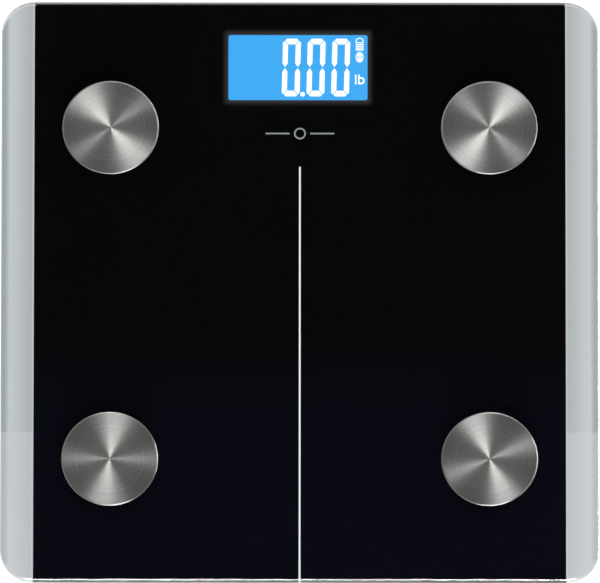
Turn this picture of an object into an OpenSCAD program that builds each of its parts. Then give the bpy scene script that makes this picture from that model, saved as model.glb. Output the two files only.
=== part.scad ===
// Digital body-composition bathroom scale.
// The origin is on the floor at the middle of the platform: +X is to the right,
// +Y is toward the display end and +Z is up. Sizes are in millimetres.

/* [Platform] */
// Width of the glass, left to right
platform_w = 300; // [250:1:380]
// Depth of the glass, front to rear
platform_d = 300; // [250:1:380]
// Thickness of the glass
glass_t = 6; // [4:0.5:8]
// Corner radius of the glass in plan
glass_corner_r = 16.5; // [8:0.5:24]
// Polished bevel along the glass edges
glass_bevel = 0.5; // [0.5:0.1:1.5]

/* [Printed backing] */
// Thickness of the printed films under the glass
film_t = 0.3; // [0.2:0.05:0.5]
// Width of the silver band along each side of the glass
band_w = 16.5; // [10:0.5:24]
// Plain margin between the glass edge and the print
film_margin = 0.5; // [0.5:0.1:2]
// Width of the printed centre line
line_w = 0.9; // [0.5:0.1:2]
// Distance from the rear edge to where the centre line starts
line_rear_inset = 84.7; // [80:0.1:110]

/* [Electrodes] */
// Diameter of each electrode disc
electrode_d = 48.5; // [36:0.5:54]
// Thickness of each electrode disc
electrode_t = 0.8; // [0.5:0.1:1.2]
// Thickness of the adhesive under each disc
adhesive_t = 0.2; // [0.1:0.05:0.3]
// Distance from the side edge to the electrode centres
electrode_side_inset = 54.8; // [50:0.1:62]
// Distance from the rear edge to the rear electrode centres
electrode_rear_inset = 65.5; // [62:0.5:80]
// Distance from the front edge to the front electrode centres
electrode_front_inset = 62.5; // [62:0.5:80]
// Diameter of the stud welded under each disc
stud_d = 3; // [2:0.5:3.5]

/* [Display] */
// Width of the clear display window
window_w = 70; // [50:1:76]
// Depth of the clear display window
window_d = 34; // [24:1:36]
// Distance from the rear edge to the middle of the window
window_rear_inset = 33; // [30:0.1:40]
// Sideways place of the window's middle
window_x = -1; // [-5:0.5:5]
// Thickness of the LCD panel
lcd_t = 2.8; // [2:0.1:3.2]
// Thickness of the backlight panel
backlight_t = 2.8; // [2:0.1:3.2]
// Thickness of the circuit board
board_t = 1.6; // [1:0.2:1.6]

/* [Base tray] */
// Distance from the side edge of the glass to the tray
tray_side_inset = 18; // [12:1:20]
// Distance from the front and rear edges of the glass to the tray
tray_end_inset = 6; // [5:0.5:8]
// Corner radius of the tray in plan
tray_corner_r = 20; // [14:1:22]
// Wall thickness of the tray
tray_wall = 2; // [1.5:0.1:2.5]
// Floor thickness of the tray
tray_floor = 2; // [1.6:0.1:2.5]
// Bevel along the tray's lower edge
tray_bevel = 3; // [1:0.5:3]
// Clearance between the floor and the tray
ground_gap = 4; // [3.5:0.5:6]
// Thickness of the foam tape between tray and glass
tape_t = 1; // [0.5:0.1:1.5]
// Width of the rim flange that carries the tape
flange_w = 6; // [4:0.5:6]

/* [Feet and load cells] */
// Diameter of each foot
foot_d = 44; // [36:1:44]
// Distance from the side edge of the glass to the foot centres
foot_side_inset = 46; // [46:1:56]
// Distance from the front and rear edges to the foot centres
foot_end_inset = 40; // [38:1:44]
// Distance each foot drops when the scale is lifted
foot_travel = 0.5; // [0.3:0.1:0.8]
// Width of the foot's rim around its rubber pad
pad_rim = 3; // [2:0.5:5]
// Thickness of each rubber pad
pad_t = 2; // [1.5:0.1:2.5]
// Side of the square load-cell plate
cell_w = 34; // [28:1:34]
// Thickness of the load-cell plate
cell_t = 2.4; // [2:0.1:3]

/* [Battery bay] */
// Diameter of one cell
battery_d = 10.5; // [8:0.1:14.5]
// Length of one cell with its nub
battery_len = 44.5; // [38:0.5:51]
// Number of cells
battery_count = 3; // [2:1:4]
// Thickness of the battery door
door_t = 1.2; // [1:0.1:2]

/* [Unit button] */
// Diameter of the button cap
button_d = 10; // [7:0.5:12]
// Travel of the button
button_travel = 0.6; // [0.3:0.1:1]

/* [Hidden] */
$fn = 96;
ENDS = ["front", "rear"];
SIDES = ["left", "right"];

// Clearances named once and used wherever two pieces meet.
slip = 0.05; // pieces bolted or glued face to face
loose = 0.3; // pieces dropped into a seat
moving = 0.4; // pieces that slide past each other
print_gap = 0.1; // bare glass between two inks

// Heights, from the floor up.
tray_z = ground_gap;
tray_top_z = tray_z + tray_floor;
battery_gap = 0.2;
roof_t = 1;
roof_rise = 0.4;
battery_z = tray_z + door_t + battery_gap;
bay_roof_z = battery_z + battery_d + battery_gap;
rim_z = bay_roof_z + roof_t - roof_rise;
film_z = rim_z + tape_t;
glass_z = film_z + film_t;
glass_top_z = glass_z + glass_t;

// Plan places.
electrode_x = platform_w / 2 - electrode_side_inset;
electrode_front_y = -platform_d / 2 + electrode_front_inset;
electrode_rear_y = platform_d / 2 - electrode_rear_inset;
window_y = platform_d / 2 - window_rear_inset;
foot_x = platform_w / 2 - foot_side_inset;
foot_y = platform_d / 2 - foot_end_inset;
tray_w = platform_w - 2 * tray_side_inset;
tray_d = platform_d - 2 * tray_end_inset;

// Films.
black_w = platform_w - 2 * band_w;
black_d = platform_d - 2 * film_margin;
black_corner_r = 1;
silver_w = platform_w - 2 * film_margin;
window_corner_r = 1.2;
line_start_y = platform_d / 2 - line_rear_inset;
line_end_y = -platform_d / 2 + film_margin;

// Electrode fastening below the glass.
stud_hole_d = stud_d + 1.4;
washer_d = 8;
washer_t = 0.5;
terminal_t = 0.5;
terminal_d = 7;
terminal_tail_w = 3;
terminal_tail_len = 7;
nut_d = 6.2;
nut_t = 2.2;
stud_end_z = film_z - washer_t - terminal_t - nut_t - 0.8;
terminal_z = film_z - washer_t - terminal_t - slip;
nut_z = terminal_z - nut_t - slip;

// Display stack, from the glass down.
lcd_side = 3;
lcd_rear = 2.2;
lcd_ledge = 5;
lcd_w = window_w + 2 * lcd_side;
lcd_d = window_d + lcd_rear + lcd_ledge;
lcd_y = window_y + (lcd_rear - lcd_ledge) / 2;
lcd_z = film_z - 0.2 - lcd_t;
backlight_d = lcd_d - lcd_ledge + 1;
backlight_y = lcd_y + (lcd_d - backlight_d) / 2;
backlight_z = lcd_z - backlight_t;
board_z = backlight_z - board_t;
board_top_z = backlight_z;
holder_wall = 1.4;
holder_w = lcd_w + 2 * (loose + holder_wall);
holder_d = lcd_d + 2 * (loose + holder_wall);
holder_top_z = lcd_z + lcd_t - 0.2;
strip_w = lcd_w - 12;
strip_t = 2;
strip_y = lcd_y - lcd_d / 2 + 1.8;
screw_edge = 4;
board_w = holder_w + 4 * screw_edge + 3;
board_apron = 12;
board_rear_y = lcd_y + holder_d / 2 + 0.6;
board_front_y = lcd_y - holder_d / 2 - board_apron;
board_d = board_rear_y - board_front_y;
board_y = (board_rear_y + board_front_y) / 2;
board_screw_x = board_w / 2 - screw_edge;
board_screw_rear_y = board_rear_y - screw_edge;
board_screw_front_y = board_front_y + screw_edge;

// Small screws.
pilot_d = 2.1;
screw_d = 2;
screw_head_d = 4.2;
screw_head_t = 1.2;
boss_d = 6;
board_screw_len = 6;

// Feet. At rest the weight holds each snap head up against its load cell.
pad_d = foot_d - 2 * pad_rim;
recess_depth = 3.2;
recess_roof_t = 1.8;
recess_wall = 1.8;
recess_r = foot_d / 2 + 0.8;
recess_z = tray_z + recess_depth;
seat_z = recess_z + recess_roof_t;
shell_edge_z = 0.6;
shell_skirt_t = 2;
shell_plate_t = 2;
shell_top_z = recess_z - 0.5;
foot_boss_r = 5;
foot_boss_hole_r = foot_boss_r + moving;
snap_head_r = foot_boss_r + 1.2;
snap_head_t = 0.9;
snap_slot = 1.2;
head_gap = 0.1;
head_z = seat_z + foot_travel + head_gap;
cell_z = head_z + snap_head_t + head_gap;
cell_top_z = cell_z + cell_t;
tongue_w = 12;
cell_slot = 2.2;
cell_frame_w = 4.6;
gauge_t = 0.5;
retainer_t = 1.5;
retainer_w = 38;
retainer_open = 24;
retainer_z = cell_top_z + slip;
ear_y = retainer_w / 2 + 2.5;
ear_r = 3;
cell_screw_len = 6;

// Battery bay.
spring_room = 4.5;
plate_room = 1.2;
battery_pitch = battery_d + 0.6;
bay_len = battery_len + spring_room + plate_room;
bay_w = battery_count * battery_pitch + 0.2;
bay_wall = 1.5;
ledge = 2.6;
door_gap = 0.3;
door_len = bay_len + 2 * ledge - 2 * door_gap;
door_w = bay_w + 2 * ledge - 2 * door_gap;
door_r = 2;
bay_pad_rim = 3;
bay_pad_t = tray_floor + 1;
hinge_y = -bay_w / 2 - ledge + door_gap / 2;
tab_w = 7;
tab_x = bay_len / 4;
tab_reach = 2;
tab_t = 0.8;
slot_reach = 3.2;
plate_t = 0.4;
tag_w = 3;
tag_out = 3;
tag_z = battery_z + battery_d / 2;
nub_r = 1.9;
nub_len = 1;

// Unit button.
button_x = -26;
button_y = board_front_y + 6;
button_cap_z = tray_z + 0.3;
button_flange_z = tray_top_z + 0.1;
button_flange_t = 0.8;
button_flange_r = button_d / 2 + 1.4;
button_top_z = button_flange_z + button_flange_t;
switch_stem_z = button_top_z + button_travel + 0.1;
switch_body_z = switch_stem_z + 0.4;

// Leads.
socket_len = 7.5;
socket_d = 5;
socket_h = 3.4;
socket_count = 5;
socket_pitch = min(17, (2 * (board_screw_x - screw_head_d / 2 - loose) - socket_len) / (socket_count - 1));
socket_y = board_front_y + socket_d / 2 + 0.4;
socket_z = board_top_z + slip;
socket_mid_z = socket_z + socket_h / 2;
lead_end_y = socket_y - socket_d / 2 - 0.3;
lead_r = 0.9;
signal_r = 0.7;
lead_pitch = 3.4;
pin_pitch = 3.2;
lane_out = foot_x - recess_r - recess_wall;
lane_room = lane_out - board_w / 2 - abs(window_x);
lane_x = lane_out - max(signal_r + loose, min(3, lane_room - 2 * lead_r - signal_r - 2 * loose));
front_cell_lane_x = lane_x - lead_pitch;
rear_cell_lane_x = max(lane_x - 2 * lead_pitch, lane_out - lane_room + lead_r + loose);
rib_h = 3;
rib_t = 1.4;
lead_z = max(tray_top_z + rib_h, seat_z) + lead_r + 0.4;

function side_sign(side) = side == "left" ? -1 : 1;
function end_sign(end) = end == "front" ? -1 : 1;
function electrode_y(end) = end == "front" ? electrode_front_y : electrode_rear_y;
function battery_y(i) = (i - (battery_count - 1) / 2) * battery_pitch;
function battery_turn(i) = i % 2 == 0 ? 1 : -1;
function terminal_cell(t) = t == 0 ? 0 : battery_count - 1;
function terminal_side(t) = t == 0 || battery_count % 2 == 0 ? -1 : 1;
function socket_x(i) = window_x + (i - (socket_count - 1) / 2) * socket_pitch;

// Shared shapes.

// A rectangle with round corners, centred.
module round_rect(w, d, r) {
    square([w - 2 * r, d], center = true);
    square([w, d - 2 * r], center = true);
    for (x = [-1, 1], y = [-1, 1]) {
        translate([x * (w / 2 - r), y * (d / 2 - r)]) circle(r);
    }
}

// A flat plate with round corners.
module slab(w, d, h, r) {
    linear_extrude(height = h) round_rect(w, d, r);
}

// A plate with round corners, bevelled along its lower and upper edges.
module bevelled_plate(w, d, h, r, low, high) {
    section = function(half) [
        [low - half, 0], [half - low, 0], [half, low], [half, h - high],
        [half - high, h], [high - half, h], [-half, h - high], [-half, low]
    ];
    rotate([90, 0, 90]) linear_extrude(height = w - 2 * r, center = true) polygon(section(d / 2));
    rotate([90, 0, 0]) linear_extrude(height = d - 2 * r, center = true) polygon(section(w / 2));
    for (x = [-1, 1], y = [-1, 1]) {
        translate([x * (w / 2 - r), y * (d / 2 - r), 0])
            rotate_extrude() polygon([
                [0, 0], [r - low, 0], [r, low], [r, h - high], [r - high, h], [0, h]
            ]);
    }
}

// A pipe: a cylinder with a cylinder taken out of it.
module pipe(outer_r, inner_r, h) {
    difference() {
        cylinder(r = outer_r, h = h);
        translate([0, 0, -1]) cylinder(r = inner_r, h = h + 2);
    }
}

function unit(v) = v / norm(v);

// One point of a Catmull-Rom curve between b and c.
function curve_point(a, b, c, d, t) = 0.5 * (
    2 * b + (c - a) * t + (2 * a - 5 * b + 4 * c - d) * t * t + (3 * b - a - 3 * c + d) * t * t * t
);

// A smooth line through the given points, with n steps in each span.
function smooth(p, n) = [
    for (i = [0 : len(p) - 2], k = [0 : n - 1])
        curve_point(p[max(i - 1, 0)], p[i], p[i + 1], p[min(i + 2, len(p) - 1)], k / n),
    p[len(p) - 1]
];

// A round tube along a line. Its rings are turned by ref, which the line never runs along.
module tube_along(path, r, sides, ref = [0, 0, 1]) {
    last = len(path) - 1;
    rings = [
        for (i = [0 : last])
            let (
                along = unit(path[min(i + 1, last)] - path[max(i - 1, 0)]),
                across = unit(cross(along, ref)),
                up = cross(across, along)
            )
            for (k = [0 : sides - 1])
                path[i] + r * (cos(360 * k / sides) * across + sin(360 * k / sides) * up)
    ];
    walls = [
        for (i = [0 : last - 1], k = [0 : sides - 1])
            let (next = (k + 1) % sides)
            [i * sides + k, i * sides + next, (i + 1) * sides + next, (i + 1) * sides + k]
    ];
    start = [for (k = [sides - 1 : -1 : 0]) k];
    finish = [for (k = [0 : sides - 1]) last * sides + k];
    polyhedron(points = rings, faces = concat([start], walls, [finish]));
}

// A pan-head screw with a cross recess: the head sits on z = 0 and the shank goes down.
module pan_screw(len) {
    point_r = 0.3;
    point_len = 1;
    head_round = 0.5;
    cross_len = 2.4;
    cross_w = 0.5;
    cross_depth = 0.6;
    difference() {
        rotate_extrude() polygon([
            [0, -len], [point_r, -len], [screw_d / 2, point_len - len], [screw_d / 2, 0],
            [screw_head_d / 2, 0], [screw_head_d / 2, screw_head_t * 0.6],
            [screw_head_d / 2 - head_round, screw_head_t], [0, screw_head_t]
        ]);
        for (turn = [0, 90]) {
            rotate([0, 0, turn]) translate([0, 0, screw_head_t])
                cube([cross_len, cross_w, 2 * cross_depth], center = true);
        }
    }
}

// Places its children at each of the four corner positions.
module at_electrodes() {
    for (end = ENDS, side = SIDES) {
        translate([side_sign(side) * electrode_x, electrode_y(end), 0]) children();
    }
}

module at_foot(end, side) {
    translate([side_sign(side) * foot_x, end_sign(end) * foot_y, 0]) children();
}

module at_feet() {
    for (end = ENDS, side = SIDES) at_foot(end, side) children();
}

module at_board_screws() {
    for (x = [-1, 1], y = [board_screw_front_y, board_screw_rear_y]) {
        translate([window_x + x * board_screw_x, y, 0]) children();
    }
}

// Platform.

module glass_platform() {
    color([0.75, 0.85, 0.86, 0.35]) difference() {
        translate([0, 0, glass_z])
            bevelled_plate(platform_w, platform_d, glass_t, glass_corner_r, glass_bevel, glass_bevel);
        at_electrodes() translate([0, 0, glass_z - 1]) cylinder(d = stud_hole_d, h = glass_t + 2);
    }
}

module black_print() {
    color([0.02, 0.02, 0.025]) translate([0, 0, film_z]) difference() {
        slab(black_w, black_d, film_t, black_corner_r);
        translate([window_x, window_y, -1]) slab(window_w, window_d, film_t + 2, window_corner_r);
        at_electrodes() translate([0, 0, -1]) cylinder(d = stud_hole_d, h = film_t + 2);
        translate([0, (line_start_y + line_end_y) / 2, film_t / 2])
            cube([line_w + 2 * print_gap, line_start_y - line_end_y + 2 * print_gap, 1], center = true);
    }
}

module silver_band(side) {
    inner_x = black_w / 2 + print_gap;
    color([0.68, 0.71, 0.73]) translate([0, 0, film_z]) intersection() {
        slab(silver_w, platform_d - 2 * film_margin, film_t, glass_corner_r - film_margin);
        translate([side_sign(side) * (inner_x + band_w / 2), 0, 0])
            cube([band_w, platform_d, 3 * film_t], center = true);
    }
}

module centre_line() {
    color([0.76, 0.8, 0.82]) translate([-line_w / 2, line_end_y, film_z])
        cube([line_w, line_start_y - line_end_y, film_t]);
}

module electrode(end, side) {
    rim = 0.35;
    r = electrode_d / 2;
    disc_z = glass_top_z + adhesive_t;
    color([0.62, 0.61, 0.59])
        translate([side_sign(side) * electrode_x, electrode_y(end), 0]) rotate_extrude() polygon([
            [0, stud_end_z], [stud_d / 2 - 0.4, stud_end_z], [stud_d / 2, stud_end_z + 0.4],
            [stud_d / 2, disc_z], [r, disc_z], [r, disc_z + electrode_t - rim],
            [r - rim, disc_z + electrode_t], [0, disc_z + electrode_t]
        ]);
}

module electrode_adhesive() {
    color([0.5, 0.5, 0.48]) at_electrodes() translate([0, 0, glass_top_z])
        pipe(electrode_d / 2 - 1, stud_hole_d / 2, adhesive_t);
}

module stud_washers() {
    color([0.55, 0.2, 0.15]) at_electrodes() translate([0, 0, film_z - washer_t])
        pipe(washer_d / 2, stud_d / 2 + slip, washer_t);
}

module ring_terminals() {
    color([0.75, 0.72, 0.62]) for (end = ENDS, side = SIDES) {
        translate([side_sign(side) * electrode_x, electrode_y(end), terminal_z]) difference() {
            union() {
                cylinder(d = terminal_d, h = terminal_t);
                translate([-side_sign(side) * terminal_tail_len / 2, 0, terminal_t / 2])
                    cube([terminal_tail_len, terminal_tail_w, terminal_t], center = true);
            }
            translate([0, 0, -1]) cylinder(r = stud_d / 2 + slip, h = terminal_t + 2);
        }
    }
}

module stud_nuts() {
    color([0.7, 0.7, 0.68]) at_electrodes() translate([0, 0, nut_z]) difference() {
        cylinder(d = nut_d, h = nut_t, $fn = 6);
        translate([0, 0, -1]) cylinder(r = stud_d / 2 + slip, h = nut_t + 2);
    }
}

// Four strips of foam tape on the tray's rim flange.
module foam_tape() {
    strip = flange_w - 1;
    long_x = tray_w - 2 * tray_corner_r;
    long_y = tray_d - 2 * tray_corner_r;
    color([0.85, 0.85, 0.82]) for (s = [-1, 1]) {
        translate([0, s * (tray_d - flange_w) / 2, rim_z + tape_t / 2])
            cube([long_x, strip, tape_t], center = true);
        translate([s * (tray_w - flange_w) / 2, 0, rim_z + tape_t / 2])
            cube([strip, long_y, tape_t], center = true);
    }
}

// Base tray.

// Outer shell with a bevelled lower edge and an inward flange along its rim.
module tray_shell() {
    inner_bevel = tray_bevel - 0.6 * tray_wall;
    flange_t = 1.8;
    difference() {
        translate([0, 0, tray_z])
            bevelled_plate(tray_w, tray_d, rim_z - tray_z, tray_corner_r, tray_bevel, 0);
        translate([0, 0, tray_top_z])
            bevelled_plate(
                tray_w - 2 * tray_wall, tray_d - 2 * tray_wall, rim_z - flange_t - tray_top_z,
                tray_corner_r - tray_wall, inner_bevel, 0
            );
        translate([0, 0, rim_z - flange_t - 1])
            slab(tray_w - 2 * flange_w, tray_d - 2 * flange_w, flange_t + 2, tray_corner_r - flange_w);
    }
}

// Low ribs across the floor, from wall to wall and from the bay to the front.
module tray_ribs() {
    along_x = tray_w - tray_wall;
    along_y = tray_d - tray_wall;
    z = tray_top_z + rib_h / 2;
    rib_from_bay = 30;
    rib_x = bay_len / 2 + rib_from_bay;
    rib_y = bay_w / 2 + rib_from_bay;
    for (s = [-1, 1]) {
        translate([s * rib_x, 0, z]) cube([rib_t, along_y, rib_h], center = true);
        translate([0, s * rib_y, z]) cube([along_x, rib_t, rib_h], center = true);
        translate([s * (along_x / 2 + bay_len / 2) / 2, 0, z])
            cube([along_x / 2 - bay_len / 2, rib_t, rib_h], center = true);
    }
    translate([0, -(along_y / 2 + bay_w / 2) / 2, z])
        cube([rib_t, along_y / 2 - bay_w / 2, rib_h], center = true);
}

// Foot cup, load-cell seat and retainer bosses, solid before the cup is hollowed.
module cell_seat() {
    ring_wall = 1.6;
    ring_gap = 14;
    ring_rise = 1.6;
    ring = cell_w + 2 * (loose + ring_wall);
    ring_h = cell_z + ring_rise - seat_z;
    ring_mid_z = seat_z + ring_h / 2;
    rail_w = cell_frame_w - 0.6;
    rail_inset = 0.2;
    rail_len = cell_w - 6;
    translate([0, 0, tray_z]) cylinder(r = recess_r + recess_wall, h = seat_z - tray_z);
    difference() {
        translate([0, 0, ring_mid_z - 0.5]) cube([ring, ring, ring_h + 1], center = true);
        translate([0, 0, ring_mid_z + 1])
            cube([cell_w + 2 * loose, cell_w + 2 * loose, ring_h + 2], center = true);
        translate([0, 0, ring_mid_z]) cube([ring + 2, ring_gap, ring_h + 4], center = true);
        translate([0, 0, ring_mid_z]) cube([ring_gap, ring + 2, ring_h + 4], center = true);
    }
    for (s = [-1, 1]) {
        translate([s * (cell_w / 2 - rail_w / 2 - rail_inset), 0, (seat_z + cell_z) / 2 - 0.25])
            cube([rail_w, rail_len, cell_z - seat_z + 0.5], center = true);
        translate([0, s * ear_y, tray_z + 1])
            cylinder(r = ear_r, h = retainer_z - slip - tray_z - 1);
    }
}

// What the foot needs taken out: the recess, the boss hole and the retainer pilot holes.
module cell_seat_cuts() {
    translate([0, 0, tray_z - 1]) cylinder(r = recess_r, h = recess_depth + 1);
    translate([0, 0, tray_z]) cylinder(r = foot_boss_hole_r, h = rim_z);
    for (s = [-1, 1]) {
        translate([0, s * ear_y, retainer_z - cell_screw_len])
            cylinder(d = pilot_d, h = cell_screw_len + 1);
    }
}

// Battery bay walls and roof with the thick pad around the door opening.
module bay_body() {
    pad_len = bay_len + 2 * (ledge + bay_pad_rim);
    pad_w = bay_w + 2 * (ledge + bay_pad_rim);
    walls_h = bay_roof_z + roof_t - tray_z;
    translate([0, 0, tray_z + bay_pad_t / 2])
        cube([pad_len, pad_w, bay_pad_t], center = true);
    translate([0, 0, tray_z + walls_h / 2])
        cube([bay_len + 2 * bay_wall, bay_w + 2 * bay_wall, walls_h], center = true);
}

module bay_cuts() {
    door_recess_len = door_len + 2 * door_gap;
    door_recess_w = door_w + 2 * door_gap;
    opening_r = 1;
    tag_slot_len = 4;
    tag_play = 0.4;
    scoop_r = 8;
    scoop_depth = 1.4;
    scoop_len = 16;
    scoop_from_door = 3.4;
    translate([0, 0, (tray_z + bay_roof_z) / 2]) cube([bay_len, bay_w, bay_roof_z - tray_z], center = true);
    translate([0, 0, tray_z - 1]) slab(bay_len, bay_w, 3, opening_r);
    translate([0, 0, tray_z - 1]) slab(door_recess_len, door_recess_w, door_t + 1.1, door_r + door_gap);
    for (s = [-1, 1]) {
        translate([s * tab_x, hinge_y, tray_z + door_t + slot_reach / 2])
            cube([tab_w + 1, 2 * slot_reach, slot_reach], center = true);
    }
    // Slots that let the end plates' solder tags out.
    for (t = [0, 1]) {
        translate([terminal_side(t) * (bay_len / 2 + 1), battery_y(terminal_cell(t)), tag_z])
            cube([tag_slot_len, plate_t + tag_play, tag_w + tag_play], center = true);
    }
    // Finger scoop beside the latch.
    translate([-scoop_len / 2, scoop_from_door - hinge_y, tray_z + scoop_depth - scoop_r])
        rotate([0, 90, 0]) cylinder(r = scoop_r, h = scoop_len);
}

module board_bosses() {
    at_board_screws() translate([0, 0, tray_top_z - 0.5])
        cylinder(d = boss_d, h = board_z - tray_top_z + 0.5);
}

module base_tray() {
    color([0.13, 0.13, 0.14]) difference() {
        union() {
            tray_shell();
            tray_ribs();
            at_feet() cell_seat();
            bay_body();
            board_bosses();
        }
        at_feet() cell_seat_cuts();
        bay_cuts();
        at_board_screws() translate([0, 0, board_z + board_t - board_screw_len])
            cylinder(d = pilot_d, h = board_screw_len + 1);
        translate([button_x, button_y, tray_z - 1]) cylinder(r = button_d / 2 + moving, h = tray_floor + 2);
    }
}

// Feet.

// The moulded foot: a cup for the pad below, a dust skirt, ribs and a split snap head on top.
module foot_shell(end, side) {
    plate_z = pad_t;
    plate_top = plate_z + shell_plate_t;
    edge_chamfer = 0.6;
    rib_w = 1.2;
    split_z = plate_top + 1.5;
    color([0.1, 0.1, 0.11]) at_foot(end, side) difference() {
        union() {
            rotate_extrude() polygon([
                [0, plate_z], [pad_d / 2 + slip, plate_z], [pad_d / 2 + slip, shell_edge_z],
                [foot_d / 2 - edge_chamfer, shell_edge_z], [foot_d / 2, shell_edge_z + edge_chamfer],
                [foot_d / 2, shell_top_z], [foot_d / 2 - shell_skirt_t, shell_top_z],
                [foot_d / 2 - shell_skirt_t, plate_top], [0, plate_top]
            ]);
            translate([0, 0, plate_top - 0.5]) cylinder(r = foot_boss_r, h = head_z - plate_top + 1);
            translate([0, 0, head_z])
                cylinder(r1 = snap_head_r, r2 = foot_boss_r, h = snap_head_t);
            for (turn = [0 : 60 : 300]) {
                rotate([0, 0, turn]) translate([foot_boss_r - 0.5, -rib_w / 2, plate_top - 0.5])
                    cube([foot_d / 2 - shell_skirt_t - foot_boss_r + 1, rib_w, shell_top_z - plate_top]);
            }
        }
        for (turn = [30, 120]) {
            rotate([0, 0, turn])
                translate([-snap_head_r - 0.5, -snap_slot / 2, split_z])
                    cube([2 * snap_head_r + 1, snap_slot, head_z + snap_head_t - split_z + 1]);
        }
    }
}

// Rubber pad with two grip grooves and a chamfered edge.
module foot_pad(end, side) {
    groove = 0.6;
    outer = pad_d / 2;
    groove_starts = [0.34, 0.64];
    slope = 0.02;
    land = 0.06;
    color([0.2, 0.2, 0.21]) at_foot(end, side) rotate_extrude() polygon([
        [0, 0],
        for (at = groove_starts) each [
            [outer * at, 0], [outer * (at + slope), groove],
            [outer * (at + slope + land), groove], [outer * (at + 2 * slope + land), 0]
        ],
        [outer - groove, 0], [outer, groove], [outer, pad_t], [0, pad_t]
    ]);
}

// Steel load-cell plate with a tongue that is free at its outer end.
module load_cell(end, side) {
    slot_end = cell_w / 2 - cell_frame_w;
    hole_r = 1.2;
    hole_inset = 4;
    color([0.66, 0.67, 0.7]) at_foot(end, side) translate([0, 0, cell_z])
        rotate([0, 0, end == "front" ? 0 : 180]) linear_extrude(height = cell_t) difference() {
            round_rect(cell_w, cell_w, 2);
            for (s = [-1, 1]) {
                translate([s * (tongue_w + cell_slot) / 2, cell_slot / 2 - 1])
                    square([cell_slot, 2 * slot_end - 2], center = true);
            }
            translate([0, cell_slot / 2 - slot_end - 0.8])
                square([tongue_w + 2 * cell_slot, cell_slot], center = true);
            for (s = [-1, 1]) translate([s, 1] * (cell_w / 2 - hole_inset)) circle(hole_r);
        }
}

// Glued gauge patch at the root of each tongue.
module strain_gauges() {
    gauge_w = 9;
    gauge_d = 8;
    gauge_corner_r = 1.5;
    color([0.93, 0.93, 0.9]) for (end = ENDS, side = SIDES) {
        at_foot(end, side) rotate([0, 0, end == "front" ? 0 : 180])
            translate([0, cell_w / 2 - cell_frame_w - 5, cell_top_z])
                slab(gauge_w, gauge_d, gauge_t, gauge_corner_r);
    }
}

// Moulded frame that clamps the load cell's rim down, with two screw ears.
module cell_retainer(end, side) {
    color([0.82, 0.82, 0.8]) at_foot(end, side) translate([0, 0, retainer_z])
        linear_extrude(height = retainer_t) difference() {
            union() {
                round_rect(retainer_w, retainer_w, 2);
                for (s = [-1, 1]) {
                    translate([0, s * ear_y]) circle(ear_r);
                    translate([0, s * (ear_y - 1.5)]) square([2 * ear_r, 3], center = true);
                }
            }
            square([retainer_open, retainer_open], center = true);
            for (s = [-1, 1]) translate([0, s * ear_y]) circle(d = screw_d + 0.4);
        }
}

module retainer_screws() {
    color([0.72, 0.72, 0.7]) at_feet() for (s = [-1, 1]) {
        translate([0, s * ear_y, retainer_z + retainer_t + slip]) pan_screw(cell_screw_len);
    }
}

// Electronics.

module circuit_board() {
    color([0.05, 0.35, 0.18]) translate([0, 0, board_z]) difference() {
        translate([window_x, board_y, 0]) slab(board_w, board_d, board_t, 1.5);
        at_board_screws() translate([0, 0, -1]) cylinder(d = screw_d + 0.6, h = board_t + 2);
    }
}

module board_screws() {
    color([0.72, 0.72, 0.7]) at_board_screws() translate([0, 0, board_top_z + slip])
        pan_screw(board_screw_len - 0.5);
}

module controller_chip() {
    leg_count = 12;
    chip = 8;
    chip_t = 1.1;
    leg_len = 0.9;
    leg_w = 0.24;
    leg_t = 0.75;
    leg_pitch = 0.6;
    chip_x = button_x + 22;
    color([0.06, 0.06, 0.06]) translate([chip_x, button_y + 1, board_z - chip_t - 0.2]) {
        translate([-chip / 2, -chip / 2, 0]) cube([chip, chip, chip_t]);
        for (turn = [0 : 90 : 270], i = [0 : leg_count - 1]) {
            leg_y = (i - (leg_count - 1) / 2) * leg_pitch - leg_w / 2;
            rotate([0, 0, turn]) translate([chip / 2 - 0.2, leg_y, 0.5]) cube([leg_len + 0.2, leg_w, leg_t]);
        }
    }
}

module radio_module() {
    carrier = [14, 10, 0.75];
    can = [9, 8, 1.5];
    can_x = 1.5;
    module_x = window_x + board_w / 2 - 20;
    carrier_z = board_z - carrier[2] - 0.05;
    color([0.1, 0.3, 0.55]) translate([module_x, button_y + 1, carrier_z]) {
        translate([-carrier[0] / 2, -carrier[1] / 2, 0]) cube(carrier);
        color([0.78, 0.78, 0.76]) translate([can_x - can[0] / 2, -can[1] / 2, 0.1 - can[2]]) cube(can);
    }
}

module lead_sockets() {
    wall = 1;
    floor_t = 1.2;
    color([0.92, 0.91, 0.86]) for (i = [0 : socket_count - 1]) {
        translate([socket_x(i), socket_y, socket_z + socket_h / 2]) difference() {
            cube([socket_len, socket_d, socket_h], center = true);
            translate([0, 0, floor_t])
                cube([socket_len - 2 * wall, socket_d - 2 * wall, socket_h], center = true);
        }
    }
}

module unit_switch() {
    body = 6;
    stem_r = 1.6;
    color([0.15, 0.15, 0.16]) translate([button_x, button_y, 0]) {
        translate([-body / 2, -body / 2, switch_body_z]) cube([body, body, board_z - slip - switch_body_z]);
        translate([0, 0, switch_stem_z]) cylinder(r = stem_r, h = switch_body_z - switch_stem_z + 0.5);
    }
}

module lcd_holder() {
    inner_w = lcd_w + 2 * loose;
    inner_d = lcd_d + 2 * loose;
    color([0.9, 0.9, 0.88]) translate([window_x, lcd_y, board_top_z + slip]) difference() {
        slab(holder_w, holder_d, holder_top_z - board_top_z - slip, 1.5);
        translate([-inner_w / 2, -inner_d / 2, -1]) cube([inner_w, inner_d, holder_top_z - board_top_z + 2]);
    }
}

module backlight_panel() {
    color([0.35, 0.72, 0.98]) translate([window_x, backlight_y, backlight_z + slip])
        slab(lcd_w - 1, backlight_d - 1, backlight_t - 2 * slip, 0.6);
}

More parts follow.
